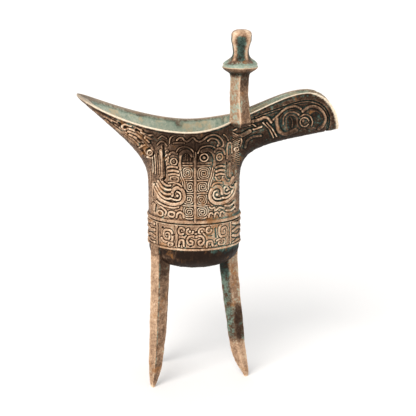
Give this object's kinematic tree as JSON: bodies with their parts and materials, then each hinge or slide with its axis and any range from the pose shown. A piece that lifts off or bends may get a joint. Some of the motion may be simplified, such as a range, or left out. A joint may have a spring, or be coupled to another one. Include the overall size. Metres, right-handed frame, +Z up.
{
  "type": "tripod wine goblet",
  "caption": "Ancient cast bronze wine goblet with an oval carved cup, a channel spout, a pointed tail, capped posts on the rim, a strap handle and blade legs.",
  "frame": {"origin": "the middle of the box's underside, on the surface that the three feet stand on", "axes": "+Z up, +X along the spout, +Y towards the strap handle"},
  "size_m": [0.1526, 0.0612, 0.2156],
  "materials": {
    "bronze": "aged cast bronze, dull brown and sand with green patina"
  },
  "bodies": {
    "root": {"vessel": "bronze"}
  },
  "joints": []
}
